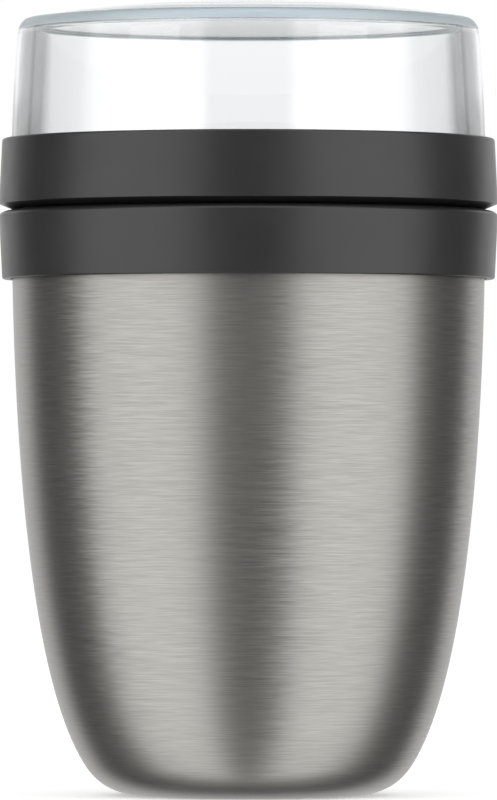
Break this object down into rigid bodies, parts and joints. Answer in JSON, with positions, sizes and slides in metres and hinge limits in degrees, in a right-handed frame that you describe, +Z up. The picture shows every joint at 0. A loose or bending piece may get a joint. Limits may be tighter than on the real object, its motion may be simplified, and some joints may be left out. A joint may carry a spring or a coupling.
{
  "type": "insulated lunch pot",
  "caption": "Egg-shaped double-walled steel lunch pot with a screw-on collar that carries a clear upturned cup, closed from below by a push-in inner lid.",
  "frame": {"origin": "centre of the standing ring, on the plane the pot stands on", "axes": "+Z up along the pot's axis, -Y towards the viewer of the picture, +X to the viewer's right along the inner lid's grip bar"},
  "size_m": [0.107, 0.107, 0.1703],
  "materials": {
    "brushed_steel": "brushed around the axis",
    "liner_steel": "electropolished",
    "sealing_glass": "fused",
    "getter_metal": "sintered",
    "copper_foil": "bright rolled",
    "grey_plastic": "satin moulded",
    "clear_plastic": "clear polished",
    "white_plastic": "satin moulded",
    "silicone": "matt"
  },
  "bodies": {
    "pot": {"outer_shell": "brushed_steel", "base_cap": "brushed_steel", "port_seal": "sealing_glass", "getter_cup": "liner_steel", "getter": "getter_metal", "heat_shield": "copper_foil", "inner_liner": "liner_steel", "pot_collar": "grey_plastic"},
    "gasket": {"pot_seal": "silicone"},
    "lid": {"lid_collar": "grey_plastic", "cup_seal": "silicone", "clear_cup": "clear_plastic"},
    "plug": {"inner_lid": "white_plastic", "inner_lid_seal": "silicone"}
  },
  "joints": [
    {"name": "lid_rise", "type": "slide", "parent": "pot", "child": "gasket", "axis": [0, 0, 1], "range_m": [0, 0.01]},
    {"name": "lid_turn", "type": "hinge", "parent": "gasket", "child": "lid", "pos_m": [0, 0, 0.1254], "axis": [0, 0, 1], "range_deg": [0, 450]},
    {"name": "inner_lid_pull", "type": "slide", "parent": "lid", "child": "plug", "axis": [0, 0, -1], "range_m": [0, 0.014]}
  ],
  "couplings": [
    {"joint": "lid_rise", "follows": "lid_turn", "m_per_rad": 0.0012732}
  ]
}
